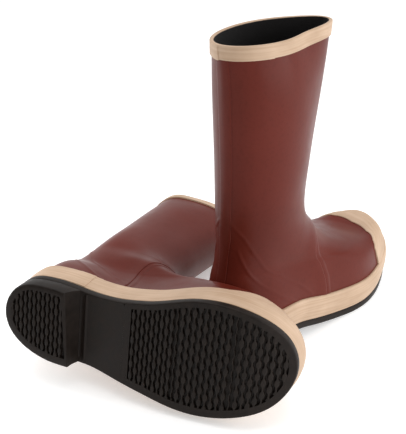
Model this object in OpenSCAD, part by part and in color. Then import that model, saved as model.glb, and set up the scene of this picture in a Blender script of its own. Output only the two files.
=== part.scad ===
// A pair of mid-height rubber deck boots. The right boot stands with its toe along +X and its leg
// along +Z. The left boot is its mirror image and lies on its outer side next to it.
// Every boot is drawn as a right boot: X from the back of the heel to the toe, Y towards the
// inner side of the foot, Z up from the bottom of the heel.

/* [Upper] */
// Overall height, from the bottom of the heel to the rim
boot_h = 353; // [330:1:400]
// Front to back length of the mouth
mouth_len = 149; // [140:1:156]
// Side to side width of the mouth
mouth_w = 82; // [76:1:92]
// Side to side width of the leg at the ankle
ankle_w = 82; // [76:1:90]

/* [Foot] */
// Length of the foot, over the foxing
foot_len = 311; // [290:1:330]
// Widths of the foot, as a share of a medium fitting
foot_fitting = 1.0; // [0.94:0.01:1.06]
// Height of the heel above the ground
heel_h = 18; // [14:1:20]
// Thickness of the outsole under the ball
sole_t = 9; // [7:0.5:10]
// Rise of the toe above the ground
toe_spring = 26; // [18:1:30]

/* [Strips] */
// Height of the foxing strip round the foot
foxing_h = 29; // [22:1:32]
// Thickness of the foxing strip
foxing_t = 3; // [2:0.5:4]
// Height of the binding round the mouth
binding_h = 14; // [12:1:18]
// Thickness of the binding and of the back stay
binding_t = 1.8; // [1.2:0.1:2.4]

/* [Wall] */
// Thickness of the red rubber
rubber_t = 2.0; // [1.6:0.1:2.4]
// Thickness of the stiffeners and ankle patches
patch_t = 1.2; // [0.8:0.1:1.4]
// Thickness of the fabric lining
lining_t = 1.4; // [1:0.1:2]

/* [Pose of the left boot] */
// Turn of the lying boot about the vertical
lie_turn = -67.5; // [-75:0.5:-60]
// Slope of the lying leg down towards its mouth
lie_tilt = -8; // [-8:0.5:-6]
// Slope of the lying boot from heel to toe
lie_roll = 2.5; // [1:0.5:3]

/* [Hidden] */

// Colours
red_rubber = [0.42, 0.20, 0.18];
cream_rubber = [0.84, 0.75, 0.66];
black_rubber = [0.12, 0.11, 0.10];
lining_black = [0.07, 0.07, 0.07];
board_brown = [0.45, 0.36, 0.26];
felt_grey = [0.5, 0.5, 0.48];
steel_grey = [0.6, 0.61, 0.63];

// Clearances
lap = 1.4;          // between a strip and the faceted surface that it lies on
glue = 0.3;         // between the upper and the outsole
skin = 0.05;        // between two layers that share the same corners
wall_t = rubber_t + patch_t + skin * 2 + lining_t;

// The middle of the heel seat stands at the origin
heel_seat_x = 38;

// Place of the left boot's heel corner, in the right boot's frame
lie_place = [-202, 148, 79.2];

// Foot outline: half widths from the centre line, divided by the sine of the angle round the
// outline, at nine even angles from the back of the heel to the tip of the toe
medial_half = [74, 71, 50, 34, 41, 64, 79, 85, 82];
lateral_half = [74, 70, 62, 51, 55, 67, 73, 84, 82];

// Underside of the upper: height at eight even steps from heel to toe
foot_line = [
  heel_h + sole_t, heel_h + sole_t, heel_h + sole_t - 2, sole_t + 7, sole_t + 1, sole_t,
  sole_t + 4, sole_t + toe_spring
];

// Rings of the upper from the foot line to the rim. Each row holds: back x, front x, back
// height, front height, 1 where the heights count from the foot line, share of the foot outline's
// width, and share and half width of the leg's oval.
front_x = foot_len - 3.5;
upper_leg_z = 300;
rim_drop = 3;         // of the rim, from the front to the back
foxing_row = 2;
rim_row = 11;
RINGS = [
  [5, front_x, 0, 0, 1, 0.97, 0, 0],
  [4, front_x + 2, foxing_h / 2, foxing_h / 2, 1, 1, 0, 0],
  [5, front_x - 1, foxing_h, foxing_h, 1, 0.99, 0, 0],
  [8, front_x - 15, 42, 55, 1, 0.94, 0.02, 45],
  [11, front_x - 44, 95, 71, 0, 0.84, 0.1, 44],
  [14, front_x - 81, 110, 80, 0, 0.74, 0.3, 43],
  [16, front_x - 119, 127, 95, 0, 0.7, 0.6, ankle_w / 2],
  [17, 156, 147, 122, 0, 0.7, 0.85, ankle_w / 2 - 1],
  [17, 136, 170, 155, 0, 0.7, 1, ankle_w / 2 - 1],
  [17, 137, 225, 220, 0, 0.7, 1, ankle_w / 2 + 2],
  [13, 147, upper_leg_z, upper_leg_z, 0, 0.7, 1, (ankle_w + mouth_w) / 4 + 4],
  [8, 8 + mouth_len, boot_h - rim_drop, boot_h, 0, 0.7, 1, mouth_w / 2]
];

// Vamp seam on the inner and on the outer side: its angle at the foot line from the toe, and how
// late and how sharply it turns up over the instep. Then the row that it would close on, and the
// row where the throat cuts it off.
inner_seam = [106, 4, 0.42];
outer_seam = [96, 3.6, 0.36];
seam_close_row = 7.1;
throat_row = 6.9;

// Rows of points up the wall, and steps round it
binding_row = rim_row - binding_h / (boot_h - upper_leg_z);
ROWS = [0, 1, 2, 2.6, 3.3, 4, 4.8, 5.6, 6.3, throat_row, 7.5, 8.2, 9, 10, binding_row, 11];
throat_i = 9;
binding_i = 14;
rim_i = 15;
vamp_steps = 14;
leg_steps = 26;
around = vamp_steps + leg_steps;

function blend4(a, b, c, d, f) =
  0.5 * (2 * b + (c - a) * f + (2 * a - 5 * b + 4 * c - d) * f * f
         + (3 * b - a - 3 * c + d) * f * f * f);

// Smooth value at position t along a list
function along(list, t) =
  let (n = len(list), i = min(max(floor(t), 0), n - 2), b = list[i], c = list[i + 1])
  let (a = i == 0 ? 2 * b - c : list[i - 1], d = i == n - 2 ? 2 * c - b : list[i + 2])
  blend4(a, b, c, d, t - i);

// The same along a list whose two ends are mirror points
function along_even(list, t) =
  let (n = len(list), i = min(floor(t), n - 2))
  blend4(list[i == 0 ? 1 : i - 1], list[i], list[i + 1], list[i == n - 2 ? n - 2 : i + 2], t - i);

function turn_of(u) = u < 0 ? u + 360 : u >= 360 ? u - 360 : u;

// Half width of the foot outline over the sine of the angle, 0 at the toe and 180 at the heel
function foot_half(u) =
  let (w = turn_of(u))
  foot_fitting * (w <= 180 ? along_even(medial_half, (180 - w) / 22.5)
                           : along_even(lateral_half, (w - 180) / 22.5));

function foot_line_z(x) = along(foot_line, min(max(x / (foot_len + 3) * 7, 0), 7));

function ring_point(r, u) =
  let (f = (1 + cos(u)) / 2, x = r[0] + (r[1] - r[0]) * f)
  let (half = foot_half(u) * r[5] * (1 - r[6]) + r[7] * r[6])
  [x, half * sin(u), r[2] + (r[3] - r[2]) * f + r[4] * foot_line_z(x)];

function ring_at(k, u) =
  k < 0 ? 2 * ring_point(RINGS[0], u) - ring_point(RINGS[1], u)
  : k > rim_row ? 2 * ring_point(RINGS[rim_row], u) - ring_point(RINGS[rim_row - 1], u)
  : ring_point(RINGS[k], u);

// Height above the ground of a point of the lying boot
function lying_height(p) =
  lie_place[2] + p[2] * sin(lie_tilt)
  + (p[1] * cos(lie_roll) - p[0] * sin(lie_roll)) * cos(lie_tilt);

// The lying leg is pressed flat where it would go below the ground: the ground's height for the
// red rubber, and how far above it the flat starts
flat_h = binding_t + 0.6;
flat_start = 9;
function flattened(h) =
  h > flat_h + flat_start ? h
  : h < flat_h - flat_start ? flat_h
  : flat_h + pow(h + flat_start - flat_h, 2) / (4 * flat_start);
function pressed(p) =
  let (h = lying_height(p))
  p + [0, (flattened(h) - h) / (cos(lie_roll) * cos(lie_tilt)), 0];

// Point of the outer face of the red rubber at angle u and row v, free or as the boot lies
leg_row = 7;
function free_point(u, v) =
  let (k = min(max(floor(v), 0), rim_row - 1))
  blend4(ring_at(k - 1, u), ring_at(k, u), ring_at(k + 1, u), ring_at(k + 2, u), v - k);
function wall_point(u, v, lies) =
  let (p = free_point(u, v)) lies && v > leg_row ? pressed(p) : p;

function unit(a) = a / norm(a);

// Outward direction there
function wall_out(u, v, lies) =
  let (low = max(v - 0.02, 0), high = min(v + 0.02, rim_row))
  let (du = wall_point(u + 1, v, lies) - wall_point(u - 1, v, lies))
  unit(cross(du, wall_point(u, high, lies) - wall_point(u, low, lies)));

// Angle of one side of the vamp seam on a row
function seam_angle(seam, v) =
  seam[0] * pow(1 - pow(min(v, throat_row) / seam_close_row, seam[1]), seam[2]);

// Angle of each step round the boot: across the vamp, then back along each side of the leg
function angle_at(v, i) =
  let (a = seam_angle(inner_seam, v), b = seam_angle(outer_seam, v))
  let (s = 2 * i / vamp_steps - 1, t = 2 * (i - vamp_steps) / leg_steps)
  i <= vamp_steps ? s * (s < 0 ? b : a)
                  : t < 1 ? a + (180 - a) * t : 180 + (180 - b) * (t - 1);

function wall_grid(lies) =
  [for (v = ROWS) [for (i = [0 : around - 1]) wall_point(angle_at(v, i), v, lies)]];
function out_grid(lies) =
  [for (v = ROWS) [for (i = [0 : around - 1]) wall_out(angle_at(v, i), v, lies)]];
STANDING_WALL = [wall_grid(false), out_grid(false)];
LYING_WALL = [wall_grid(true), out_grid(true)];
$wall = STANDING_WALL;

// The point d below the outer face. The lowest row stays on the foot line.
function layer(j, i, d) =
  let (p = $wall[0][j][i % around], n = $wall[1][j][i % around])
  j > 0 ? p - n * d
  : let (q = p - unit([n[0], n[1], 0]) * d) [q[0], q[1], foot_line_z(q[0])];

// Where a stiffener or patch lies between rubber and lining: first and last row, first and
// last step
back_i = vamp_steps + leg_steps / 2;
PATCHES = [
  [0, 4, 2, vamp_steps - 2],
  [0, 4, back_i - 6, back_i + 6],
  [5, 11, vamp_steps + 2, back_i - 4],
  [5, 11, back_i + 4, around - 2]
];
toe_puff_area = PATCHES[0];
counter_area = PATCHES[1];
medial_area = PATCHES[2];
lateral_area = PATCHES[3];

function in_area(a, j, i) = j >= a[0] && j <= a[1] && i >= a[2] && i <= a[3];
function patched(j, i) = len([for (a = PATCHES) if (in_area(a, j, i % around)) 1]) > 0;
// Depth of the rubber: it is thinner over a stiffener
function rubber_depth(j, i) = patched(j, i) ? rubber_t : rubber_t + patch_t + skin;

// Two triangles between two sections that start at corners a and b, from point k to the next
// one of m. The cut runs the same way on both faces of a wall, so that layers never cross.
function cell_faces(a, b, k, m) =
  let (q = (k + 1) % m)
  k < m / 2 ? [[a + k, b + k, a + q], [b + k, b + q, a + q]]
            : [[a + k, b + k, b + q], [a + k, b + q, a + q]];

// A closed sleeve: a list of closed sections, in the same order at every step
module ring_of_sections(sections) {
  n = len(sections);
  m = len(sections[0]);
  points = [for (s = sections) each s];
  faces = [for (i = [0 : n - 1], k = [0 : m - 1]) each cell_faces(i * m, (i + 1) % n * m, k, m)];
  polyhedron(points, faces);
}

// A strip with two ends, from the same kind of sections
module strip_of_sections(sections) {
  n = len(sections);
  m = len(sections[0]);
  points = [for (s = sections) each s];
  sides = [for (i = [0 : n - 2], k = [0 : m - 1]) each cell_faces(i * m, (i + 1) * m, k, m)];
  half = m / 2;
  first = [for (k = [0 : half - 2]) each let (p = m - 1 - k, q = m - 2 - k)
    [[k, k + 1, q], [k, q, p]]];
  shift = (n - 1) * m;
  last = [for (f = first) [shift + f[2], shift + f[1], shift + f[0]]];
  polyhedron(points, concat(sides, first, last));
}

// Section through a layer at step i, from row j0 up the outside to row j1 and down the inside
function layer_section(i, j0, j1, outer, inner) =
  concat([for (j = [j0 : j1]) layer(j, i, outer)], [for (j = [j1 : -1 : j0]) layer(j, i, inner)]);

// A stiffener or patch
module patch(area) {
  strip_of_sections([for (i = [area[3] : -1 : area[2]])
    layer_section(i, area[0], area[1], rubber_t + skin, rubber_t + skin + patch_t)]);
}

// ---- flat pieces of the bottom ----

// Outline at distance d inside the foot line ring, in plan
outline_steps = 56;
function outline_point(u, d) =
  let (a = ring_point(RINGS[0], u - 1), b = ring_point(RINGS[0], u + 1), p = ring_point(RINGS[0], u))
  let (t = unit([b[0] - a[0], b[1] - a[1]]))
  [p[0] - t[1] * d, p[1] + t[0] * d];
function outline(d) = [for (k = [0 : outline_steps - 1]) outline_point(k * 360 / outline_steps, d)];

sole_stations = 30;
function station_x(k) = -foxing_t + (foot_len + 2 * foxing_t) * k / sole_stations;
function ground_z(x) = max(foot_line_z(x) - sole_t - glue, 0);

// A sheet of the plan outline at inset d that follows the foot line between two heights
module sheet(d, low, high) {
  profile = concat(
    [for (k = [0 : sole_stations]) [station_x(k), foot_line_z(station_x(k)) + high]],
    [for (k = [sole_stations : -1 : 0]) [station_x(k), foot_line_z(station_x(k)) + low]]);
  intersection() {
    linear_extrude(height = 100) polygon(outline(d));
    translate([0, 100, 0]) rotate([90, 0, 0]) linear_extrude(height = 200) polygon(profile);
  }
}

// Tread grooves: straight cuts across the sole, inside a plain border
tread_border = 9;
groove_w = 3;
groove_depth = 4;
groove_pitch = 11;
forefoot_tread = [146, 294];
heel_tread = [10, 60];
module grooves(span, depth) {
  intersection() {
    linear_extrude(height = 100, center = true) polygon(outline(tread_border));
    for (x = [span[0] : groove_pitch : span[1]])
      translate([x, 0, ground_z(x)]) cube([groove_w, 200, depth * 2], center = true);
  }
}

heel_breast_top = 80;
heel_breast_bottom = 73;

module outsole() {
  profile = concat(
    [for (k = [0 : sole_stations]) [station_x(k), foot_line_z(station_x(k)) - glue]],
    [for (k = [sole_stations : -1 : 0]) [station_x(k), ground_z(station_x(k))]]);
  color(black_rubber)
    difference() {
      intersection() {
        linear_extrude(height = 100) polygon(outline(-foxing_t));
        translate([0, 100, 0]) rotate([90, 0, 0]) linear_extrude(height = 200) polygon(profile);
      }
      grooves(forefoot_tread, groove_depth);
    }
}

module heel() {
  stations = [for (k = [0 : sole_stations]) if (station_x(k) < heel_breast_top) station_x(k)];
  profile = concat(
    [for (x = stations) [x, ground_z(x) - glue]],
    [[heel_breast_top, ground_z(heel_breast_top) - glue], [heel_breast_bottom, 0], [-foxing_t, 0]]);
  color(black_rubber)
    difference() {
      intersection() {
        linear_extrude(height = 100) polygon(outline(-foxing_t));
        translate([0, 100, 0]) rotate([90, 0, 0]) linear_extrude(height = 200) polygon(profile);
      }
      translate([0, 0, -ground_z(0)]) grooves(heel_tread, groove_depth);
    }
}

board_t = 2.2;
filler_t = 1.5;
sockliner_t = 5;
inner_gap = 1.2;
shank_from = 58;
shank_len = 108;
shank_w = 16;

module shank_band(grow) {
  translate([shank_from - grow, -shank_w / 2 - grow, 0])
    cube([shank_len + 2 * grow, shank_w + 2 * grow, 100]);
}

module shank() {
  color(steel_grey)
    intersection() {
      sheet(wall_t + inner_gap, 0, filler_t);
      shank_band(0);
    }
}

module bottom_filler() {
  color(felt_grey)
    difference() {
      sheet(wall_t + inner_gap, 0, filler_t);
      shank_band(0.1);
    }
}

module insole_board() {
  color(board_brown) sheet(wall_t + inner_gap, filler_t + skin, filler_t + board_t);
}

module sockliner() {
  base = filler_t + board_t + skin;
  color(lining_black) sheet(wall_t + 2 * inner_gap, base, base + sockliner_t);
}

// ---- upper ----

module lining() {
  color(lining_black)
    ring_of_sections([for (i = [around - 1 : -1 : 0])
      layer_section(i, 0, rim_i, wall_t - lining_t, wall_t)]);
}

module toe_puff() { color(felt_grey) patch(toe_puff_area); }
module heel_counter() { color(felt_grey) patch(counter_area); }
module medial_ankle_patch() { color(red_rubber) patch(medial_area); }
module lateral_ankle_patch() { color(red_rubber) patch(lateral_area); }

function vamp_section(i) =
  concat([for (j = [0 : throat_i]) layer(j, i, 0)],
         [for (j = [throat_i : -1 : 0]) layer(j, i, rubber_depth(j, i))]);

module vamp() {
  color(red_rubber) strip_of_sections([for (i = [vamp_steps : -1 : 0]) vamp_section(i)]);
}

// The leg is open in front below the throat and closed above it. Its corners are numbered row by
// row: first all the outer ones, then all the inner ones.
function leg_corner(j, i, inside) = (inside ? len(ROWS) * around : 0) + j * around + i % around;
module leg() {
  points = concat(
    [for (j = [0 : rim_i], i = [0 : around - 1]) layer(j, i, 0)],
    [for (j = [0 : rim_i], i = [0 : around - 1]) layer(j, i, rubber_depth(j, i))]);
  function cell(j, i) = j >= throat_i || i >= vamp_steps;
  walls = [for (j = [0 : rim_i - 1], i = [0 : around - 1]) if (cell(j, i))
    let (a = leg_corner(j, i, false), b = leg_corner(j, i + 1, false))
    let (c = leg_corner(j + 1, i + 1, false), d = leg_corner(j + 1, i, false))
    let (s = len(ROWS) * around)
    each [[a, c, b], [a, d, c], [a + s, b + s, c + s], [a + s, c + s, d + s]]];
  foot_edge = [for (i = [vamp_steps : around - 1])
    let (a = leg_corner(0, i, false), b = leg_corner(0, i + 1, false), s = len(ROWS) * around)
    each [[a, b, b + s], [a, b + s, a + s]]];
  rim_edge = [for (i = [0 : around - 1])
    let (a = leg_corner(rim_i, i, false), b = leg_corner(rim_i, i + 1, false))
    let (s = len(ROWS) * around)
    each [[a, b + s, b], [a, a + s, b + s]]];
  throat_edge = [for (i = [0 : vamp_steps - 1])
    let (a = leg_corner(throat_i, i, false), b = leg_corner(throat_i, i + 1, false))
    let (s = len(ROWS) * around)
    each [[a, b, b + s], [a, b + s, a + s]]];
  seams = [for (j = [0 : throat_i - 1])
    let (a = leg_corner(j, 0, false), b = leg_corner(j + 1, 0, false))
    let (c = leg_corner(j, vamp_steps, false), d = leg_corner(j + 1, vamp_steps, false))
    let (s = len(ROWS) * around)
    each [[a, b, b + s], [a, b + s, a + s], [c, d + s, d], [c, c + s, d + s]]];
  color(red_rubber)
    polyhedron(points, concat(walls, foot_edge, rim_edge, throat_edge, seams));
}

stay_side_steps = 1;
module back_stay() {
  color(red_rubber)
    strip_of_sections([for (i = [back_i + stay_side_steps : -1 : back_i - stay_side_steps])
      layer_section(i, 3, binding_i, -binding_t, -skin)]);
}

module foxing() {
  color(cream_rubber)
    ring_of_sections([for (i = [around - 1 : -1 : 0]) layer_section(i, 0, 2, -foxing_t, -skin)]);
}

// The toe strip is widest over the middle of the toe and runs out into the foxing at its ends
guard_from = -51;
guard_to = 60;
guard_end_rows = 0.12;
guard_width_rows = 1.55;
guard_t = 2;
guard_steps = 20;
guard_rows = 3;
function guard_point(k, r, d) =
  let (s = k / guard_steps * 2 - 1, u = guard_from + (guard_to - guard_from) * k / guard_steps)
  let (width = guard_end_rows + guard_width_rows * pow(max(1 - s * s, 0), 0.4))
  let (v = foxing_row + 0.05 + width * r / guard_rows)
  wall_point(u, v, false) + wall_out(u, v, false) * d;
module toe_guard() {
  color(cream_rubber)
    strip_of_sections([for (k = [guard_steps : -1 : 0]) concat(
      [for (r = [0 : guard_rows]) guard_point(k, r, lap + guard_t)],
      [for (r = [guard_rows : -1 : 0]) guard_point(k, r, lap)])]);
}

// The binding runs round the outside and caps the edge of the red rubber
cap_t = 1;
function up(p, h) = p + [0, 0, h];
function binding_section(i) = [
  layer(binding_i, i, -binding_t),
  layer(rim_i, i, -binding_t),
  up(layer(rim_i, i, -binding_t), cap_t),
  up(layer(rim_i, i, rubber_t), cap_t),
  up(layer(rim_i, i, rubber_t), skin),
  up(layer(rim_i, i, -skin), skin),
  layer(binding_i, i, -skin)
];
module top_binding() {
  color(cream_rubber)
    ring_of_sections([for (i = [around - 1 : -1 : 0]) binding_section(i)]);
}

// ---- places of the two boots ----

module standing() { translate([-heel_seat_x, 0, 0]) children(); }

module lying() {
  $wall = LYING_WALL;
  translate(lie_place)
    rotate([0, 0, lie_turn])
      rotate([lie_tilt, 0, 0])
        rotate([0, lie_roll, 0])
          rotate([-90, 0, 0])
            mirror([0, 1, 0])
              children();
}

standing() outsole();  // right_outsole
standing() heel();  // right_heel
standing() shank();  // right_shank
standing() bottom_filler();  // right_bottom_filler
standing() insole_board();  // right_insole_board
standing() sockliner();  // right_sockliner
standing() lining();  // right_lining
standing() toe_puff();  // right_toe_puff
standing() heel_counter();  // right_heel_counter
standing() medial_ankle_patch();  // right_medial_ankle_patch
standing() lateral_ankle_patch();  // right_lateral_ankle_patch
standing() vamp();  // right_vamp
standing() leg();  // right_leg
standing() back_stay();  // right_back_stay
standing() foxing();  // right_foxing
standing() toe_guard();  // right_toe_guard
standing() top_binding();  // right_top_binding
lying() outsole();  // left_outsole
lying() heel();  // left_heel
lying() shank();  // left_shank
lying() bottom_filler();  // left_bottom_filler
lying() insole_board();  // left_insole_board
lying() sockliner();  // left_sockliner
lying() lining();  // left_lining
lying() toe_puff();  // left_toe_puff
lying() heel_counter();  // left_heel_counter
lying() medial_ankle_patch();  // left_medial_ankle_patch
lying() lateral_ankle_patch();  // left_lateral_ankle_patch
lying() vamp();  // left_vamp
lying() leg();  // left_leg
lying() back_stay();  // left_back_stay
lying() foxing();  // left_foxing
lying() toe_guard();  // left_toe_guard
lying() top_binding();  // left_top_binding
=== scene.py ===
"""Looks of a pair of rubber deck boots: the right one stands, the left one lies on its outer side.

Every piece is drawn as a right boot in millimetres: X from the back of the heel to the toe, Y to
the inner side of the foot, Z up from the bottom of the heel. A place on the upper is an angle u
round the boot (0 toe, 90 inner side, 180 heel) and a row v (0 foot line, 2 top of the foxing,
7 ankle, 11 rim). place() moves it into the row frame, in metres.
"""
import math

import bmesh
import bpy
import numpy as np
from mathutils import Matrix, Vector

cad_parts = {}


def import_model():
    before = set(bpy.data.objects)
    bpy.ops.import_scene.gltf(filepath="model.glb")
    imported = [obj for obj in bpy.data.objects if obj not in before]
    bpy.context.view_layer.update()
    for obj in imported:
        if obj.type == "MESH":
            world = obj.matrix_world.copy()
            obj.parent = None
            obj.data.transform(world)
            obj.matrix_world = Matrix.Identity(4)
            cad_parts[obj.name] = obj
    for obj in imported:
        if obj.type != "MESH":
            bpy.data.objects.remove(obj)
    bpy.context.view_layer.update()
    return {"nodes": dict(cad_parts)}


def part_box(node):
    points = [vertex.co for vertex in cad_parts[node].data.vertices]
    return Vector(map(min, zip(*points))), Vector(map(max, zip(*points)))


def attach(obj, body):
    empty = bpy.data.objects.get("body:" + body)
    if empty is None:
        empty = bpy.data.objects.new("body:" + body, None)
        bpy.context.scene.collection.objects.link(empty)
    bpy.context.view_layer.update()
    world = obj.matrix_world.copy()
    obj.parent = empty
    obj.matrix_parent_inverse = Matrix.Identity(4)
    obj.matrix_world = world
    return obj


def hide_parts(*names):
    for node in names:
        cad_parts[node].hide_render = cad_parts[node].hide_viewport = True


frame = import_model()

MM = 0.001
SIDES = ("right", "left")

# ---- sizes, in mm ----

FOXING_T = 3.0
FOXING_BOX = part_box("right_foxing")
BOOT_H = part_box("right_leg")[1].z / MM
FOOT_LEN = (FOXING_BOX[1].x - FOXING_BOX[0].x) / MM - 0.5
HEEL_SEAT_X = 4 - FOXING_T - FOXING_BOX[0].x / MM
HEEL_H = 18
SOLE_T = 9
TOE_SPRING = 26
FOXING_H = 29
MOUTH_LEN = 149
MOUTH_W = 82
ANKLE_W = 82
BINDING_H = 14
BINDING_T = 1.8
CAP_T = 1.0
RIM_DROP = 3
RUBBER_T = 2.0
PATCH_T = 1.2
LINING_T = 1.4
WALL_T = 4.7
GLUE = 0.3
SKIN = 0.05

# Place of the lying boot
LIE_PLACE = np.array([-202, 148, 79.2])
LIE_TURN = -67.5
LIE_TILT = -8
LIE_ROLL = 2.5
FLAT_H = BINDING_T + 0.6
FLAT_START = 9

# Half widths of the foot outline over the sine of the angle, from heel to toe
INNER_HALF = [74, 71, 50, 34, 41, 64, 79, 85, 82]
OUTER_HALF = [74, 70, 62, 51, 55, 67, 73, 84, 82]

# Height of the underside of the upper, from heel to toe
FOOT_LINE = [HEEL_H + SOLE_T, HEEL_H + SOLE_T, HEEL_H + SOLE_T - 2, SOLE_T + 7, SOLE_T + 1,
             SOLE_T, SOLE_T + 4, SOLE_T + TOE_SPRING]

# Rings of the upper: back x, front x, back z, front z, 1 if z counts from the foot line, share of
# the foot outline, share and half width of the leg's oval
FRONT_X = FOOT_LEN - 3.5
UPPER_LEG_Z = 300
RINGS = np.array([
    [5, FRONT_X, 0, 0, 1, 0.97, 0, 0],
    [4, FRONT_X + 2, FOXING_H / 2, FOXING_H / 2, 1, 1, 0, 0],
    [5, FRONT_X - 1, FOXING_H, FOXING_H, 1, 0.99, 0, 0],
    [8, FRONT_X - 15, 42, 55, 1, 0.94, 0.02, 45],
    [11, FRONT_X - 44, 95, 71, 0, 0.84, 0.1, 44],
    [14, FRONT_X - 81, 110, 80, 0, 0.74, 0.3, 43],
    [16, FRONT_X - 119, 127, 95, 0, 0.7, 0.6, ANKLE_W / 2],
    [17, 156, 147, 122, 0, 0.7, 0.85, ANKLE_W / 2 - 1],
    [17, 136, 170, 155, 0, 0.7, 1, ANKLE_W / 2 - 1],
    [17, 137, 225, 220, 0, 0.7, 1, ANKLE_W / 2 + 2],
    [13, 147, UPPER_LEG_Z, UPPER_LEG_Z, 0, 0.7, 1, (ANKLE_W + MOUTH_W) / 4 + 4],
    [8, 8 + MOUTH_LEN, BOOT_H - RIM_DROP, BOOT_H, 0, 0.7, 1, MOUTH_W / 2],
])
RIM_ROW = 11
FOXING_ROW = 2
LEG_ROW = 7
BINDING_ROW = RIM_ROW - BINDING_H / (BOOT_H - UPPER_LEG_Z)

# Vamp seam on the inner and the outer side: its angle at the foot line, and how late and how
# sharply it turns up over the instep. Then the row where it closes, the highest row that other
# pieces take their angles from, the height and reach of the leg's lap over it, and the height and
# width of the strip beside it.
INNER_SEAM = (106, 4, 0.42)
OUTER_SEAM = (96, 3.6, 0.36)
SEAM_CLOSE_ROW = 7.1
SEAM_TOP_ROW = 6.9
LAP_H = 1.5
LAP_REACH = 13
STRIP_H = 0.8
STRIP_W = 5

# Soft dents of the leg: angle, row, half angle, half rows, depth
DENTS = {
    "right": [(-74, 11.5, 30, 1.4, 9), (-14, 10.7, 24, 2.2, -12), (40, 11.4, 30, 1.2, 3),
              (20, 7.9, 26, 0.7, 1.5)],
    "left": [(62, 9.4, 26, 1.0, 4), (161, 10.9, 28, 1.5, 12), (112, 11.2, 16, 0.9, -4),
             (98, 7.3, 22, 0.7, 2.5), (88, 6.3, 16, 0.5, -1.5), (120, 8.3, 16, 0.6, -2),
             (155, 3.7, 30, 1.2, -4)],
}

# Faint ridges in the rubber, from the ankle down the outer side: height, reach, and angles and rows.
# They follow no edge of the pieces underneath. The inner side has their mirror image.
RIDGE_H = 0.5
RIDGE_REACH = 1.6
RIDGES = [
    [(180, 7.9), (193, 7.8), (210, 7.05), (222, 6.05), (228, 5.1), (235, 4.45), (241, 3.82),
     (247, 3.23), (255, 2.28)],
    [(200, 6.4), (206, 5.6), (217, 4.19), (222, 3.82), (228, 3.43), (238, 2.5), (246, 1.87)],
]

# Tread: groups of ribs across the sole, each with its first place, pitch and number. Plain narrow
# ribs lie between the groups of the forefoot.
TREAD_BORDER = 4.5
TREAD_SHIFT = 1.5
TREAD_DEPTH = 3.2
FOREFOOT_FROM = 142
FOREFOOT_TO = 306
FOREFOOT_RIBS = [(145, 5.3, 9), (198, 5.95, 9), (258, 6, 8)]
FOREFOOT_PLAIN_RIBS = (192.8, 252)
FOREFOOT_LUG = 13.4
HEEL_TREAD_TO = 69
HEEL_RIBS = [(10.5, 5.1, 12)]
HEEL_LUG = 12.6
BREAST_TOP = 80
BREAST_BOTTOM = 73
BREAST_SKEW = 3

# Inset of the edge of the underside, and points of a cut outline: along its arc and its cut
UNDERSIDE_INSET = -1.5
ARC_POINTS = 160
CUT_POINTS = 24

# Sockliner: height of its underside over the foot line, and its thickness
SOCK_BASE = 3.8
SOCK_T = 4.8


# ---- the surface of the upper ----

def blend4(a, b, c, d, f):
    """Catmull-Rom blend between b and c."""
    return 0.5 * (2 * b + (c - a) * f + (2 * a - 5 * b + 4 * c - d) * f ** 2
                  + (3 * b - a - 3 * c + d) * f ** 3)


def spline(values, t, mirror=False):
    """Smooth value at place t along a list, whose ends run on straight or are mirror points."""
    values = np.asarray(values, float)
    first, last = (values[1], values[-2]) if mirror else (2 * values[0] - values[1],
                                                          2 * values[-1] - values[-2])
    padded = np.concatenate([[first], values, [last]])
    i = np.clip(np.floor(t).astype(int), 0, len(values) - 2)
    return blend4(padded[i], padded[i + 1], padded[i + 2], padded[i + 3], t - i)


def foot_half(u):
    """Half width of the foot outline over the sine of the angle."""
    w = np.mod(u, 360.0)
    inner = spline(INNER_HALF, np.clip((180 - w) / 22.5, 0, 8), True)
    outer = spline(OUTER_HALF, np.clip((w - 180) / 22.5, 0, 8), True)
    return np.where(w <= 180, inner, outer)


def foot_line_z(x):
    return spline(FOOT_LINE, np.clip(np.asarray(x) / (FOOT_LEN + 3) * 7, 0, 7))


def ground_z(x):
    """Height of the underside of the outsole."""
    return np.maximum(foot_line_z(x) - SOLE_T - GLUE, 0)


def ring_points(u):
    """The points of every ring at the angles u, with one more ring below and above."""
    r = RINGS[:, :, None]
    f = (1 + np.cos(np.radians(u))) / 2
    x = r[:, 0] + (r[:, 1] - r[:, 0]) * f
    half = foot_half(u) * r[:, 5] * (1 - r[:, 6]) + r[:, 7] * r[:, 6]
    z = r[:, 2] + (r[:, 3] - r[:, 2]) * f + r[:, 4] * foot_line_z(x)
    p = np.stack([x, half * np.sin(np.radians(u)), z], -1)
    return np.concatenate([[2 * p[0] - p[1]], p, [2 * p[-1] - p[-2]]])


def turn(u):
    """The same angle, from -180 to 180."""
    return (np.asarray(u, float) + 180) % 360 - 180


def flattened(h):
    """Height of the lying leg over the ground, where it is pressed flat below."""
    eased = FLAT_H + (h + FLAT_START - FLAT_H) ** 2 / (4 * FLAT_START)
    return np.where(h > FLAT_H + FLAT_START, h, np.where(h < FLAT_H - FLAT_START, FLAT_H, eased))


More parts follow.
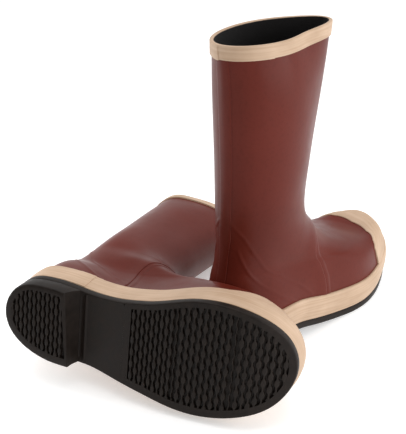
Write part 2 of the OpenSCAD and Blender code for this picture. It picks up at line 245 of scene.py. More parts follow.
def wall(u, v, side):
    """The outer face of the red rubber."""
    u, v = np.broadcast_arrays(np.asarray(u, float), np.asarray(v, float))
    shape = u.shape
    u, v = u.ravel(), v.ravel()
    rings = ring_points(u)
    k = np.clip(np.floor(v).astype(int), 0, RIM_ROW - 1)
    n = np.arange(len(u))
    p = blend4(rings[k, n], rings[k + 1, n], rings[k + 2, n], rings[k + 3, n], (v - k)[:, None])
    out = np.stack([np.cos(np.radians(u)), np.sin(np.radians(u)), 0 * u], -1)
    for angle, row, half_angle, half_rows, depth in DENTS[side]:
        share = np.exp(-(turn(u - angle) / half_angle) ** 2 - ((v - row) / half_rows) ** 2)
        p = p - out * (depth * share)[:, None]
    if side == "left":
        tilt, roll = math.radians(LIE_TILT), math.radians(LIE_ROLL)
        across = p[:, 1] * math.cos(roll) - p[:, 0] * math.sin(roll)
        h = LIE_PLACE[2] + p[:, 2] * math.sin(tilt) + across * math.cos(tilt)
        shift = (flattened(h) - h) / (math.cos(roll) * math.cos(tilt))
        p[:, 1] += np.where(v > LEG_ROW, shift, 0)
    return p.reshape(shape + (3,))


def surface(u, v, d, side, rise=0):
    """The point d mm outside the red rubber, and a rise straight up the leg."""
    low, high = np.maximum(v - 0.02, 0), np.minimum(v + 0.02, RIM_ROW)
    along = wall(u + 0.5, v, side) - wall(u - 0.5, v, side)
    out = np.cross(along, wall(u, high, side) - wall(u, low, side))
    out = out / np.linalg.norm(out, axis=-1, keepdims=True)
    p = wall(u, v, side) + out * np.asarray(d, float)[..., None]
    p[..., 2] += rise
    return p


def seam_angle(seam, v, close_row=SEAM_CLOSE_ROW):
    share = np.clip(np.asarray(v, float) / close_row, 0, 1)
    return seam[0] * (1 - share ** seam[1]) ** seam[2]


def across_vamp(v, s, close_row=SEAM_CLOSE_ROW):
    """Angle at the share s across the vamp: -1 on the outer seam, 1 on the inner one."""
    seams = [seam_angle(seam, v, close_row) for seam in (OUTER_SEAM, INNER_SEAM)]
    return s * np.where(s < 0, *seams)


def round_leg(v, t):
    """Angle at the share t round the leg: 0 on the inner seam, 0.5 at the back, 1 on the outer."""
    a, b = seam_angle(INNER_SEAM, v), seam_angle(OUTER_SEAM, v)
    return np.where(t < 0.5, a + (180 - a) * 2 * t, 180 + (180 - b) * (2 * t - 1))


def smooth(t):
    """0 below 0, 1 above 1, and an even S between."""
    t = np.clip(t, 0, 1)
    return t * t * (3 - 2 * t)


def distance(points, line):
    """Distance from each point to the nearest of a close row of points."""
    flat = points.reshape(-1, 3)
    nearest = [np.sqrt(((part[:, None] - line[None]) ** 2).sum(-1).min(1))
               for part in np.array_split(flat, max(1, len(flat) // 2000))]
    return np.concatenate(nearest).reshape(points.shape[:-1])


def seam_line(side):
    v = SEAM_CLOSE_ROW * (1 - (1 - np.linspace(0, 1, 220)) ** 2.4)
    u = np.concatenate([across_vamp(v, -1), across_vamp(v, 1)[::-1]])
    return wall(u, np.concatenate([v, v[::-1]]), side)


def ridge_line(places, side, mirrored):
    """A row of points on the wall through the places."""
    t = np.linspace(0, len(places) - 1, 260)
    u = spline([p[0] for p in places], t)
    return wall(360 - u if mirrored else u, spline([p[1] for p in places], t), side)


# ---- meshes ----

def turned(axis, degrees):
    a = math.radians(degrees)
    c, s = math.cos(a), math.sin(a)
    return np.array({"x": [[1, 0, 0], [0, c, -s], [0, s, c]],
                     "y": [[c, 0, s], [0, 1, 0], [-s, 0, c]],
                     "z": [[c, -s, 0], [s, c, 0], [0, 0, 1]]}[axis])


LIE_MATRIX = (turned("z", LIE_TURN) @ turned("x", LIE_TILT) @ turned("y", LIE_ROLL)
              @ turned("x", -90) @ np.diag([1, -1, 1]))


def place(points, side):
    """From the boot's own millimetres to the row frame in metres."""
    if side == "left":
        return (points @ LIE_MATRIX.T + LIE_PLACE) * MM
    return (points - [HEEL_SEAT_X, 0, 0]) * MM


def add_piece(side, part, points, faces, uv, material, sharp=38):
    """One finished piece that stands for the CAD node side_part."""
    mesh = bpy.data.meshes.new(f"{side}_{part}_finish")
    if side == "left":
        faces = [face[::-1] for face in faces]
    mesh.from_pydata(place(points, side).tolist(), [], faces)
    layer = mesh.uv_layers.new(name="along")
    corners = np.zeros(len(mesh.loops), int)
    mesh.loops.foreach_get("vertex_index", corners)
    layer.data.foreach_set("uv", (np.asarray(uv) * MM)[corners].ravel().astype(np.float32))
    work = bmesh.new()
    work.from_mesh(mesh)
    bmesh.ops.remove_doubles(work, verts=work.verts, dist=2e-6)
    bmesh.ops.dissolve_degenerate(work, edges=work.edges, dist=2e-6)
    work.to_mesh(mesh)
    work.free()
    mesh.polygons.foreach_set("use_smooth", [True] * len(mesh.polygons))
    mesh.set_sharp_from_angle(angle=math.radians(sharp))
    mesh.materials.append(material)
    piece = bpy.data.objects.new(mesh.name, mesh)
    bpy.context.scene.collection.objects.link(piece)
    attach(piece, f"{side}_boot")
    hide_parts(f"{side}_{part}")
    return piece


def grid_faces(rows, columns):
    return [(r * columns + c, r * columns + c + 1,
             (r + 1) * columns + c + 1, (r + 1) * columns + c)
            for r in range(rows - 1) for c in range(columns - 1)]


def grid_uv(points):
    """Lengths along and across a grid of points."""
    around = np.linalg.norm(np.diff(points, axis=1), axis=-1).mean(0)
    up = np.linalg.norm(np.diff(points, axis=0), axis=-1).mean(1)
    a = np.concatenate([[0], np.cumsum(around)])
    b = np.concatenate([[0], np.cumsum(up)])
    return np.stack(np.meshgrid(a, b), -1).reshape(-1, 2)


def add_grid(side, part, points, material, thickness=0, capped=False):
    """A piece from a grid of points. Edges that meet are joined, and a sheet gets its thickness
    on its inner side."""
    rows, columns = points.shape[:2]
    faces = grid_faces(rows, columns)
    if capped:
        faces.append([r * columns for r in range(rows)])
        faces.append([r * columns + columns - 1 for r in range(rows)][::-1])
    piece = add_piece(side, part, points.reshape(-1, 3), faces, grid_uv(points), material)
    if thickness:
        solid = piece.modifiers.new("thickness", "SOLIDIFY")
        solid.thickness = thickness * MM
        solid.offset = -1
    return piece


def joined(parts):
    """One list of points, faces and lengths from several."""
    points, faces, uv, count = [], [], [], 0
    for p, f, w in parts:
        points.append(p)
        faces += [tuple(i + count for i in face) for face in f]
        uv.append(w)
        count += len(p)
    return np.concatenate(points), faces, np.concatenate(uv)


def band(rows):
    """Points, faces and lengths of a grid given as an array."""
    return rows.reshape(-1, 3), grid_faces(*rows.shape[:2]), grid_uv(rows)


# ---- materials ----

class Paint:
    """A node material with a Principled shader, and helpers for what it is made of."""

    def __init__(self, name, roughness, **settings):
        self.material = bpy.data.materials.new(name)
        self.material["slot"] = name
        self.material.use_nodes = True
        self.nodes = self.material.node_tree.nodes
        self.links = self.material.node_tree.links
        self.shader = self.nodes["Principled BSDF"]
        self.shader.inputs["Roughness"].default_value = roughness
        for key, value in settings.items():
            self.shader.inputs[key.replace("_", " ")].default_value = value
        self.uv = self.nodes.new("ShaderNodeUVMap")
        self.uv.uv_map = "along"
        self.object = self.nodes.new("ShaderNodeTexCoord")

    def scaled(self, source, scale):
        """Texture coordinates, stretched by a factor on each axis."""
        mapping = self.nodes.new("ShaderNodeMapping")
        mapping.inputs["Scale"].default_value = scale
        self.links.new(source, mapping.inputs["Vector"])
        return mapping.outputs["Vector"]

    def noise(self, scale, detail=3, vector=None):
        node = self.nodes.new("ShaderNodeTexNoise")
        node.inputs["Scale"].default_value = scale
        node.inputs["Detail"].default_value = detail
        self.links.new(vector or self.object.outputs["Object"], node.inputs["Vector"])
        return node.outputs["Fac"]

    def wave(self, scale, direction, vector):
        node = self.nodes.new("ShaderNodeTexWave")
        node.bands_direction = direction
        node.inputs["Scale"].default_value = scale
        node.inputs["Distortion"].default_value = 0.6
        node.inputs["Detail Scale"].default_value = 2
        self.links.new(vector, node.inputs["Vector"])
        return node.outputs["Fac"]

    def between(self, fac, colours, stops=(0.3, 0.7)):
        """A colour that runs from the first to the last as fac passes the stops."""
        ramp = self.nodes.new("ShaderNodeValToRGB")
        for i, (colour, stop) in enumerate(zip(colours, stops)):
            ramp.color_ramp.elements[i].color = (*colour, 1)
            ramp.color_ramp.elements[i].position = stop
        self.links.new(fac, ramp.inputs["Fac"])
        return ramp.outputs["Color"]

    def ranged(self, fac, low, high):
        node = self.nodes.new("ShaderNodeMapRange")
        node.inputs["From Min"].default_value = 0.3
        node.inputs["From Max"].default_value = 0.7
        node.inputs["To Min"].default_value = low
        node.inputs["To Max"].default_value = high
        self.links.new(fac, node.inputs["Value"])
        return node.outputs["Result"]

    def multiplied(self, a, b, share):
        node = self.nodes.new("ShaderNodeMix")
        node.data_type = "RGBA"
        node.blend_type = "MULTIPLY"
        node.inputs["Factor"].default_value = share
        self.links.new(a, node.inputs["A"])
        self.links.new(b, node.inputs["B"])
        return node.outputs["Result"]

    def colour(self, source):
        self.links.new(source, self.shader.inputs["Base Color"])

    def rough(self, source):
        self.links.new(source, self.shader.inputs["Roughness"])

    def bump(self, *layers):
        """Layers of height: source, strength and depth in metres."""
        normal = None
        for source, strength, depth in layers:
            node = self.nodes.new("ShaderNodeBump")
            node.inputs["Strength"].default_value = strength
            node.inputs["Distance"].default_value = depth
            self.links.new(source, node.inputs["Height"])
            if normal:
                self.links.new(normal, node.inputs["Normal"])
            normal = node.outputs["Normal"]
        self.links.new(normal, self.shader.inputs["Normal"])


def red_gum_rubber():
    paint = Paint("red_gum_rubber", 0.34, Specular_IOR_Level=0.12)
    cloud = paint.noise(9)
    grain = paint.noise(900, 2)
    tone = paint.between(cloud, [(0.094, 0.0135, 0.0075), (0.118, 0.018, 0.011)])
    speck = paint.between(paint.noise(260, 4), [(0.86, 0.84, 0.82), (1, 1, 1)], (0.32, 0.5))
    paint.colour(paint.multiplied(tone, speck, 0.6))
    paint.rough(paint.ranged(paint.noise(38), 0.3, 0.38))
    paint.bump((paint.noise(45, 2), 0.12, 0.0012), (grain, 0.1, 0.0002))
    return paint.material


def cream_rubber():
    paint = Paint("cream_rubber", 0.55, Specular_IOR_Level=0.3)
    streak_place = paint.scaled(paint.uv.outputs["UV"], (14, 420, 1))
    streaks = paint.noise(1, 4, streak_place)
    cloud = paint.between(paint.noise(30), [(0.47, 0.33, 0.225), (0.55, 0.395, 0.28)])
    lines = paint.between(streaks, [(0.84, 0.79, 0.73), (1, 1, 1)], (0.35, 0.6))
    paint.colour(paint.multiplied(cloud, lines, 0.8))
    paint.rough(paint.ranged(streaks, 0.5, 0.62))
    paint.bump((streaks, 0.25, 0.0003), (paint.noise(1400, 2), 0.15, 0.0001))
    return paint.material


def black_sole_rubber():
    paint = Paint("black_sole_rubber", 0.55, Specular_IOR_Level=0.14)
    dust = paint.noise(120, 5)
    bloom = paint.between(dust, [(0.009, 0.006, 0.0046), (0.018, 0.0125, 0.0098)])
    pits = paint.between(paint.noise(520, 2), [(0.8, 0.78, 0.76), (1, 1, 1)], (0.35, 0.5))
    paint.colour(paint.multiplied(bloom, pits, 0.7))
    paint.rough(paint.ranged(dust, 0.42, 0.58))
    paint.bump((paint.noise(60, 2), 0.12, 0.0006), (paint.noise(1100, 3), 0.2, 0.00015))
    return paint.material


def knit(name, dark, light, pitch):
    """Ribbed knit: loops in lines up the sleeve, with fuzz."""
    paint = Paint(name, 0.9, Sheen_Weight=0.05, Specular_IOR_Level=0.2)
    along = paint.uv.outputs["UV"]
    ribs = paint.wave(0.31 / pitch, "X", along)
    rows = paint.wave(0.22 / pitch, "Y", along)
    fuzz = paint.noise(700, 4)
    tone = paint.between(ribs, [dark, light], (0.2, 0.8))
    paint.colour(paint.multiplied(tone, paint.between(fuzz, [(0.6,) * 3, (1,) * 3]), 0.7))
    paint.bump((ribs, 0.6, pitch / 3), (rows, 0.4, pitch / 4), (fuzz, 0.3, 0.0002))
    return paint.material


def stiffener_rubber():
    paint = Paint("stiffener_rubber", 0.7)
    cloth = paint.wave(500, "DIAGONAL", paint.object.outputs["Object"])
    cloud = paint.between(paint.noise(40), [(0.10, 0.05, 0.04), (0.15, 0.08, 0.06)])
    paint.colour(cloud)
    paint.bump((cloth, 0.3, 0.0003), (paint.noise(900), 0.2, 0.0001))
    return paint.material


def insole_fibreboard():
    paint = Paint("insole_fibreboard", 0.8)
    fibres = paint.noise(1, 5, paint.scaled(paint.object.outputs["Object"], (60, 500, 60)))
    paint.colour(paint.between(fibres, [(0.24, 0.17, 0.1), (0.4, 0.31, 0.2)]))
    paint.bump((fibres, 0.4, 0.0003))
    return paint.material


def filler_felt():
    paint = Paint("filler_felt", 0.95, Sheen_Weight=0.3)
    fluff = paint.noise(380, 6)
    paint.colour(paint.between(fluff, [(0.2, 0.19, 0.17), (0.36, 0.34, 0.31)]))
    paint.bump((fluff, 0.7, 0.0006))
    return paint.material


def shank_steel():
    paint = Paint("shank_steel", 0.35, Metallic=1)
    lines = paint.noise(1, 4, paint.scaled(paint.object.outputs["Object"], (12, 900, 900)))
    paint.colour(paint.between(lines, [(0.42, 0.43, 0.45), (0.62, 0.63, 0.65)]))
    paint.rough(paint.ranged(lines, 0.28, 0.45))
    paint.bump((lines, 0.2, 0.0001))
    return paint.material


MATERIALS = {
    "red_gum_rubber": red_gum_rubber(),
    "cream_rubber": cream_rubber(),
    "black_sole_rubber": black_sole_rubber(),
    "lining_fabric": knit("lining_fabric", (0.006, 0.005, 0.005), (0.018, 0.016, 0.016), 0.0011),
    "sockliner_fabric": knit("sockliner_fabric", (0.012,) * 3, (0.04,) * 3, 0.0009),
    "stiffener_rubber": stiffener_rubber(),
    "insole_fibreboard": insole_fibreboard(),
    "filler_felt": filler_felt(),
    "shank_steel": shank_steel(),
}


# ---- the upper ----

def leg(side):
    """The leg and heel quarters. Its front edge laps over the vamp."""
    arch = SEAM_CLOSE_ROW - np.array([0.5, 0.4, 0.32, 0.25, 0.19, 0.14, 0.1, 0.07, 0.045, 0.025,
                                      0.01, 0.002])
    v = np.concatenate([np.linspace(0, 6.5, 84), arch, np.linspace(SEAM_CLOSE_ROW, RIM_ROW, 66)])
    edge = np.array([0, 0.0008, 0.002, 0.004, 0.007])
    t = np.concatenate([edge, np.linspace(0.011, 0.989, 176), 1 - edge[::-1]])
    rounding = np.interp(np.minimum(t, 1 - t), edge[:4], [-0.4, 0.5, 0.85, 1])
    u = round_leg(v[:, None], t)
    v = v[:, None] + 0 * u
    points = wall(u, v, side)
    seam = distance(points, seam_line(side))
    d = LAP_H * np.exp(-(seam / LAP_REACH) ** 2)
    d = d * np.where(v < SEAM_CLOSE_ROW, rounding, 1)
    for places in RIDGES:
        for mirrored in (False, True):
            away = distance(points, ridge_line(places, side, mirrored))
            d = d + RIDGE_H * np.exp(-(away / RIDGE_REACH) ** 2)
    add_grid(side, "leg", surface(u, v, d, side), MATERIALS["red_gum_rubber"], RUBBER_T)


def vamp(side):
    """The front of the foot, with a reinforcing strip that shows next to the leg's edge."""
    close_row = SEAM_CLOSE_ROW + 0.12
    v = close_row * (1 - (1 - np.linspace(0, 0.985, 110)) ** 1.35)
    t = np.sin(np.radians(np.linspace(-90, 90, 170)))
    u = across_vamp(v[:, None], t, close_row) + 3 * t
    v = v[:, None] + 0 * u
    points = wall(u, v, side)
    seam = distance(points, seam_line(side))
    inside = (u > across_vamp(v, -1)) & (u < across_vamp(v, 1))
    strip = STRIP_H * smooth(1 - (seam - STRIP_W) / 1.3)
    d = np.where(inside, strip, STRIP_H - 1.2 * smooth(seam / 2.5))
    add_grid(side, "vamp", surface(u, v, d, side), MATERIALS["red_gum_rubber"], RUBBER_T)


def back_stay(side):
    """A thin strip of rubber up the back."""
    v = np.linspace(2.6, BINDING_ROW + 0.05, 90)
    half = ((180 - seam_angle(INNER_SEAM, np.minimum(v, SEAM_TOP_ROW))) / 13)[:, None]
    s = np.array([-1, -0.985, -0.95, -0.9, -0.6, -0.3, 0, 0.3, 0.6, 0.9, 0.95, 0.985, 1])
    d = np.interp(np.abs(s), [0, 0.9, 0.95, 0.985, 1], [0.75, 0.7, 0.55, 0.3, 0.05]) + 0 * half
    points = surface(180 + half * s, v[:, None] + 0 * half * s, d, side)
    add_grid(side, "back_stay", points, MATERIALS["red_gum_rubber"], 0.5)


def fade(u, start, reach):
    """1 just past the angle start, falling to 0 over the reach. It is 0 before start."""
    past = turn(u - start)
    return np.where(past > 0, np.exp(-(past / reach) ** 2), 0)


def columns_with(steps, *extra):
    """Even angles once round the boot, and a close pair at each extra angle."""
    pairs = [e + s for e in extra for s in (-0.12, 0.12)]
    return np.sort(np.concatenate([np.linspace(0, 360, steps + 1), pairs]))


def foxing(side):
    """The strip round the foot. Its ends lap on the inner side."""
    lap, step = 120.5, 129
    u = columns_with(300, lap, step)
    section = [(0, SKIN), (0, 2.3), (0.03, 2.8), (0.09, FOXING_T), (0.3, FOXING_T), (0.6, 3.05),
               (0.9, 3.1), (1.2, 3.1), (1.5, 3.05), (1.8, FOXING_T), (1.93, 2.85), (1.98, 2.5),
               (2, 2), (2.01, 1), (2.01, SKIN), (1, SKIN), (0, SKIN)]
    rows = []
    for row, d in section:
        top = smooth((row - 1.4) / 0.6)
        waver = 0.012 * np.sin(np.radians(u * 5)) + 0.01 * np.sin(np.radians(u * 13 + 40))
        ledge = 0.05 * (turn(u - step) < 0) * (turn(u - lap) > -3) - 0.02
        over = 0.7 * fade(u, lap, 10) if d > 1 else 0 * u
        rows.append(surface(u, row + (waver + ledge) * top, d + over, side))
    points = np.array(rows)
    foot = points[[0, 1, -1]]
    foot[..., 2] = foot_line_z(foot[..., 0])
    points[[0, 1, -1]] = foot
    add_grid(side, "foxing", points, MATERIALS["cream_rubber"])


def toe_guard(side):
    """The strip over the toe. It runs under the foxing."""
    angles = [-51, -50.2, -48, -40, -23, 0, 21, 34, 48, 60]
    widths = [0.15, 0.6, 0.95, 1.35, 1.74, 1.76, 1.5, 1.1, 0.6, 0.1]
    s = np.sin(np.radians(np.linspace(-90, 90, 140)))
    u = (angles[0] + angles[-1]) / 2 + (angles[-1] - angles[0]) / 2 * s
    width = np.interp(u, angles, widths)
    section = [(0, 0.05), (0, 1.9), (0.2, 2.1), (0.4, 2.1), (0.6, 2.05), (0.8, 1.9), (0.93, 1.8),
               (0.97, 1.6), (0.995, 1.1), (1, 0.5), (1, 0.05), (0.5, 0.05), (0, 0.05)]
    rows = [surface(u, FOXING_ROW - 0.2 + (width + 0.2) * share, d + 0 * u, side)
            for share, d in section]
    add_grid(side, "toe_guard", np.array(rows), MATERIALS["cream_rubber"], capped=True)


def top_binding(side):
    """The strip round the rim. It caps the edge of the rubber, and its ends lap at the back."""
    lap, step = 177, 238
    u = columns_with(300, lap, step)
    middle = (BINDING_T - RUBBER_T) / 2
    reach = (BINDING_T + RUBBER_T) / 2
    up = np.array([0, 0.04, 0.25, 0.6, 1])
    section = [(BINDING_ROW, SKIN, 0), (BINDING_ROW, 1.1, 0)]
    section += [(BINDING_ROW + (RIM_ROW - BINDING_ROW) * share, BINDING_T, 0) for share in up]
    section += [(RIM_ROW, middle + reach * math.cos(a), CAP_T * math.sin(a))
                for a in np.radians(np.linspace(15, 180, 10))]
    section += [(RIM_ROW, SKIN, SKIN), (BINDING_ROW, SKIN, 0)]
    rows = []
    for row, d, rise in section:
        over = 0.6 * fade(-u, -lap, 12) if d > 1 else 0 * u
        low = 0.012 * ((turn(u - lap) > 0) & (turn(u - step) < 0)) + 0.03 * fade(-u, -lap, 16)
        rows.append(surface(u, row - low * (row < BINDING_ROW + 0.1), d + over, side, rise))
    add_grid(side, "top_binding", np.array(rows), MATERIALS["cream_rubber"])


def lining(side):
    """The fabric sleeve that the rubber is built on. It closes up to the rubber at the rim."""
    u = np.linspace(0, 360, 221)
    v = np.concatenate([np.linspace(0.1, 7, 60), np.linspace(7.1, RIM_ROW, 50)])
    in_by = np.interp(v, [0, 10.5, 10.9, RIM_ROW], [WALL_T - LINING_T] * 2 + [2.3, 2.1])
    thick = np.interp(v, [0, 10.7, RIM_ROW], [LINING_T, LINING_T, 0.7])
    out = [surface(u, row + 0 * u, 0 * u - d, side) for row, d in zip(v, in_by)]
    back = [surface(u, row + 0 * u, 0 * u - d, side) for row, d in zip(v, in_by + thick)]
    add_grid(side, "lining", np.array(out + back[::-1] + out[:1]), MATERIALS["lining_fabric"])


def stiffener(side, part, rows, angles):
    """A thin piece between the rubber and the lining."""
    depth = RUBBER_T + SKIN * 2
    v = np.linspace(*rows, 30)[:, None]
    first, last = angles(v)
    u = first + (last - first) * np.linspace(0, 1, 50)
    points = surface(u, v + 0 * u, -depth + 0 * u, side)
    add_grid(side, part, points, MATERIALS["stiffener_rubber"], PATCH_T - SKIN * 2)


def stiffeners(side):
    def of_vamp(share):
        return lambda v: (across_vamp(v, -share), across_vamp(v, share))

    def of_leg(first, last):
        return lambda v: tuple(round_leg(np.minimum(v, SEAM_TOP_ROW), share)
                               for share in (first, last))

    stiffener(side, "toe_puff", (0.1, 3.3), of_vamp(0.7))
    stiffener(side, "heel_counter", (0.1, 3.3), of_leg(0.28, 0.72))
    stiffener(side, "medial_ankle_patch", (4.1, 8.1), of_leg(0.1, 0.33))
    stiffener(side, "lateral_ankle_patch", (4.1, 8.1), of_leg(0.67, 0.9))


# ---- the bottom ----

def outline(u, inset):
    """Plan outline at the foot line, moved in by the inset."""
    near = ring_points(np.concatenate([u - 1, u + 1, u]))[1][:, :2]
    before, after, p = np.split(near, 3)
    t = after - before
    t = t / np.linalg.norm(t, axis=1, keepdims=True)
    return np.stack([p[:, 0] - t[:, 1] * inset, p[:, 1] + t[:, 0] * inset], -1)


def span_at(x, inset):
    """Lowest and highest y of the inset outline at x."""
    inner = outline(np.linspace(0, 180, 361), inset)[::-1]
    outer = outline(np.linspace(180, 360, 361), inset)
    return np.interp(x, outer[:, 0], outer[:, 1]), np.interp(x, inner[:, 0], inner[:, 1])


def tread_span(x):
    """Lowest and highest y of the tread at x."""
    low, high = span_at(x, TREAD_BORDER - 0.4)
    return low + TREAD_SHIFT, high + TREAD_SHIFT


def cut_loop(inset, x_cut, front, skew=0):
    """The part of the inset outline in front of x_cut or behind it, closed by a straight line."""
    u = np.linspace(0, 180, 721)
    x = outline(u, inset)[:, 0]
    corner = np.interp(-x_cut, -x, u)
    if front:
        curve = outline(np.linspace(-corner, corner, ARC_POINTS), inset)
    else:
        curve = outline(np.linspace(corner, 360 - corner, ARC_POINTS), inset)
    share = np.linspace(0, 1, CUT_POINTS + 1)[1:, None]
    line = curve[-1] + (curve[0] - curve[-1]) * share
    loop = np.concatenate([curve, line])
    bend = np.exp(-((loop[:, 0] - x_cut) / 9) ** 2)
    loop[:, 0] -= skew * loop[:, 1] / 38 * bend
    return loop


def lifted(plan, z):
    """Plan points with their heights."""
    return np.concatenate([plan, np.broadcast_to(z, len(plan))[:, None]], 1)


def sole_edge():
    """The side of the outsole, from the foxing round the edge and on to the underside."""
    u = np.linspace(0, 360, 361)
    levels = [(5, 0), (-2.2, 0), (-2.9, 0.08), (-3.2, 0.3), (-3.2, 0.75), (-2.9, 0.93),
              (-2.3, 0.99), (-1.5, 1), (3, 0.9), (5, 0)]
    rows = []
    for inset, share in levels:
        plan = outline(u, inset)
        top = foot_line_z(plan[:, 0]) - GLUE
        rows.append(lifted(plan, top + (ground_z(plan[:, 0]) - top) * share))
    return band(np.array(rows)[:, ::-1])


def shank_panel(x_end):
    """The plain underside behind the forefoot tread, with its low ridge."""
    x = np.concatenate([np.linspace(3, 76, 24), np.linspace(77, 92, 30), np.linspace(94, x_end, 18)])
    low, high = span_at(x, UNDERSIDE_INSET)
    t = np.linspace(0, 1, 31)
    y = low[:, None] + (high - low)[:, None] * t
    ridge = 1.3 * np.exp(-((x - 87.5) / 1.1) ** 2) - 1.2 * np.exp(-((x - 82) / 3) ** 2)
    z = (ground_z(x) - ridge)[:, None] + 0 * y
    rows = np.stack([x[:, None] + 0 * y, y, z], -1)
    return band(rows[:, ::-1])


def tread_bed(outer, inner, floor_from, floor_to, height):
    """The border of a tread, the step down to its floor, and the floor. height gives the z of the
    underside."""
    step = inner.mean(0) + (inner - inner.mean(0)) * 0.997
    rows = [lifted(outer, height(outer[:, 0])), lifted(inner, height(inner[:, 0])),
            lifted(step, height(step[:, 0]) + TREAD_DEPTH)]
    rim = np.array(rows)[:, ::-1]
    border = band(np.concatenate([rim, rim[:, :1]], 1)[::-1][:, ::-1])
    x = np.linspace(floor_from, floor_to, 60)
    low, high = tread_span(x)
    y = low[:, None] + (high - low)[:, None] * np.linspace(0, 1, 12)
    floor = np.stack([x[:, None] + 0 * y, y, (height(x) + TREAD_DEPTH - 0.05)[:, None] + 0 * y], -1)
    return [border, band(floor[:, ::-1])]


def rib(x, k, pitch, lug, height, plain=False):
    """One rib across the tread: lugs joined by narrow necks, half a lug on from its neighbours. A
    plain rib only swings to and fro."""
    low, high = (float(y[0]) for y in tread_span(np.array([x])))
    if high - low < lug / 2:
        return None
    y = np.linspace(low, high, max(10, int((high - low) / lug * 16)))
    swing = np.tanh(2.2 * np.cos(2 * np.pi * y / lug + np.pi * k))
    half = pitch * (0.1 + 0 * y if plain else 0.25 + 0.125 * swing)
    middle = x + (0.1 * pitch * swing if plain else 0 * y)
    section = [(-1.16, 0), (-1.06, 0.8), (-0.94, 0.95), (-0.6, 1), (0.6, 1), (0.94, 0.95),
               (1.06, 0.8), (1.16, 0)]
    rows = [np.stack([middle + half * across, y,
                      height(middle + half * across) + TREAD_DEPTH * (1 - up) + 0.02], -1)
            for across, up in section]
    return band(np.array(rows))


def ribs(groups, lug, height):
    places = [(start + i * pitch, pitch) for start, pitch, count in groups for i in range(count)]
    made = [rib(x, k, pitch, lug, height) for k, (x, pitch) in enumerate(places)]
    return [m for m in made if m]


def outsole(side):
    x_front = FOREFOOT_FROM - 8
    outer = cut_loop(UNDERSIDE_INSET, x_front, True)
    inner = cut_loop(TREAD_BORDER, FOREFOOT_FROM, True) + [0, TREAD_SHIFT]
    parts = [sole_edge(), shank_panel(x_front)]
    parts += tread_bed(outer, inner, FOREFOOT_FROM - 0.5, FOREFOOT_TO + 1, ground_z)
    parts += ribs(FOREFOOT_RIBS, FOREFOOT_LUG, ground_z)
    parts += [rib(x, 0, FOREFOOT_RIBS[0][1], FOREFOOT_LUG, ground_z, True)
              for x in FOREFOOT_PLAIN_RIBS]
    points, faces, uv = joined(parts)
    add_piece(side, "outsole", points, faces, uv, MATERIALS["black_sole_rubber"], 50)


def heel(side):
    """The heel block with its sloping breast."""
    def flat(x):
        return 0 * x

    top = HEEL_H - 2 * GLUE
    slope = BREAST_TOP - BREAST_BOTTOM
    levels = [(6, top, 74), (-2.6, top, 79.6), (-3, top - 0.6, BREAST_TOP), (-3.1, 9, 0),
              (-3.1, 2, 0), (-2.7, 0.6, 0), (UNDERSIDE_INSET, 0, 0)]
    rows = []
    for inset, z, cut in levels:
        x_cut = cut or BREAST_BOTTOM + slope * (z / top) ** 1.6 - (inset + 3.1) * 0.6
        rows.append(lifted(cut_loop(inset, x_cut, False, BREAST_SKEW * (1 - z / top)), z))
    sides = np.array(rows)
    sides = band(np.concatenate([sides, sides[:, :1]], 1)[:, ::-1])
    outer = rows[-1][:, :2]
    inner = cut_loop(TREAD_BORDER, HEEL_TREAD_TO, False, BREAST_SKEW) + [0, TREAD_SHIFT]
    parts = [sides] + tread_bed(outer, inner, 7, HEEL_TREAD_TO + 1, flat)
    parts += ribs(HEEL_RIBS, HEEL_LUG, flat)
    points, faces, uv = joined(parts)
    add_piece(side, "heel", points, faces, uv, MATERIALS["black_sole_rubber"], 50)


def sockliner(side):
    """The cushioned insole: soft edges and a hollow for the heel."""
    edge = WALL_T + 2.6
    levels = [(edge, 0), (edge, 0.5), (edge + 0.6, 0.85), (edge + 2, 0.98), (edge + 5, 1)]
    u = np.linspace(0, 360, 181)
    rows = []
    for inset, share in levels:
        plan = outline(u, inset)
        rows.append(lifted(plan, foot_line_z(plan[:, 0]) + SOCK_BASE + SOCK_T * share))
    rim = rows[-1]
    spine = np.stack([rim[:, 0], np.interp(rim[:, 0], *spine_of(edge + 5))], -1)
    for share in (0.25, 0.5, 0.75, 1):
        plan = rim[:, :2] + (spine - rim[:, :2]) * share
        cup = 1.2 * share * np.exp(-((plan[:, 0] - 42) / 30) ** 2)
        rows.append(lifted(plan, foot_line_z(plan[:, 0]) + SOCK_BASE + SOCK_T - cup))
    under = [lifted(r[:, :2], foot_line_z(r[:, 0]) + SOCK_BASE) for r in rows[:0:-1]]
    piece = add_grid(side, "sockliner", np.array(rows + under + rows[:1]),
                     MATERIALS["sockliner_fabric"])


def spine_of(inset):
    """Middle line of the inset outline: x and y."""
    x = np.linspace(outline(np.array([180.0]), inset)[0, 0], outline(np.array([0.0]), inset)[0, 0], 80)
    low, high = span_at(x, inset)
    return x, (low + high) / 2


def sealed_pieces():
    """The pieces inside the bottom keep their CAD shape and get their own finish."""
    slots = {"shank": "shank_steel", "bottom_filler": "filler_felt",
             "insole_board": "insole_fibreboard"}
    for side in SIDES:
        for part, slot in slots.items():
            mesh = frame["nodes"][f"{side}_{part}"].data
            mesh.materials.clear()
            mesh.materials.append(MATERIALS[slot])


# ---- studio ----

FLOOR_GLOW = 0.4
FLOOR_HALF = 9
DARK_SIDE = 184
AIM = (0.04, 0.05, 0.15)
CAMERA_PLACE = (-0.590, -0.486, 0.531)
CAMERA_TURN = (64.26, 0, -47.78)
LENS = 66.5


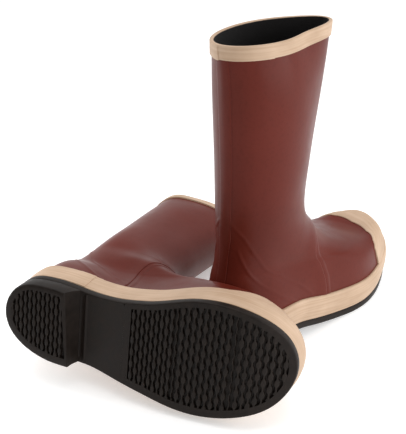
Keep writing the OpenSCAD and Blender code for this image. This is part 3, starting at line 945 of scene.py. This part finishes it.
def floor():
    mesh = bpy.data.meshes.new("floor")
    corners = [(x * FLOOR_HALF, y * FLOOR_HALF, 0) for x, y in ((-1, -1), (1, -1), (1, 1), (-1, 1))]
    mesh.from_pydata(corners, [], [(0, 1, 2, 3)])
    paint = Paint("floor_white", 0.7)
    paint.colour(paint.between(paint.noise(2), [(0.78, 0.78, 0.78), (0.8, 0.8, 0.8)]))
    paint.shader.inputs["Emission Color"].default_value = (1, 0.997, 0.99, 1)
    paint.shader.inputs["Emission Strength"].default_value = FLOOR_GLOW
    mesh.materials.append(paint.material)
    plane = bpy.data.objects.new("floor", mesh)
    bpy.context.scene.collection.objects.link(plane)


def softbox(name, azimuth, elevation, away, size, power):
    """An area light that looks at the boots. Azimuth is counted from +X."""
    data = bpy.data.lights.new(name, "AREA")
    data.shape = "RECTANGLE"
    data.size, data.size_y = size
    data.energy = power
    lamp = bpy.data.objects.new(name, data)
    a, e = math.radians(azimuth), math.radians(elevation)
    target = Vector(AIM)
    out = Vector((math.cos(a) * math.cos(e), math.sin(a) * math.cos(e), math.sin(e)))
    lamp.location = target + out * away
    lamp.rotation_euler = out.to_track_quat("Z", "Y").to_euler()
    bpy.context.scene.collection.objects.link(lamp)


def world():
    """White all round but for one dark side."""
    scene_world = bpy.data.worlds.new("studio")
    bpy.context.scene.world = scene_world
    scene_world.use_nodes = True
    nodes = scene_world.node_tree.nodes
    links = scene_world.node_tree.links
    direction = nodes.new("ShaderNodeTexCoord")
    toward = nodes.new("ShaderNodeVectorMath")
    toward.operation = "DOT_PRODUCT"
    a = math.radians(DARK_SIDE)
    toward.inputs[1].default_value = (math.cos(a), math.sin(a), 0)
    links.new(direction.outputs["Generated"], toward.inputs[0])
    ramp = nodes.new("ShaderNodeMapRange")
    ramp.interpolation_type = "SMOOTHSTEP"
    ramp.inputs["From Min"].default_value = 0.45
    ramp.inputs["From Max"].default_value = 0.8
    ramp.inputs["To Min"].default_value = 0.85
    ramp.inputs["To Max"].default_value = 0.06
    links.new(toward.outputs["Value"], ramp.inputs["Value"])
    background = nodes["Background"]
    background.inputs["Color"].default_value = (1, 1, 1, 1)
    links.new(ramp.outputs["Result"], background.inputs["Strength"])


def camera():
    data = bpy.data.cameras.new("camera")
    data.lens = LENS
    view = bpy.data.objects.new("camera", data)
    view.location = CAMERA_PLACE
    view.rotation_euler = [math.radians(degrees) for degrees in CAMERA_TURN]
    bpy.context.scene.collection.objects.link(view)
    bpy.context.scene.camera = view


def studio():
    floor()
    world()
    softbox("top", 60, 80, 1.8, (1.8, 1.8), 17)
    softbox("right", 285, 14, 0.85, (0.9, 0.45), 3.6)
    softbox("left_strip", 131, 8, 0.55, (0.07, 0.4), 0.7)
    softbox("left_thin_strip", 103, 8, 0.55, (0.05, 0.4), 0.45)
    bpy.context.scene.view_settings.view_transform = "Standard"
    camera()


PARTS = (outsole, heel, sockliner, lining, stiffeners, vamp, leg, back_stay, foxing, toe_guard,
         top_binding)
for boot_side in SIDES:
    for make in PARTS:
        make(boot_side)
sealed_pieces()
studio()
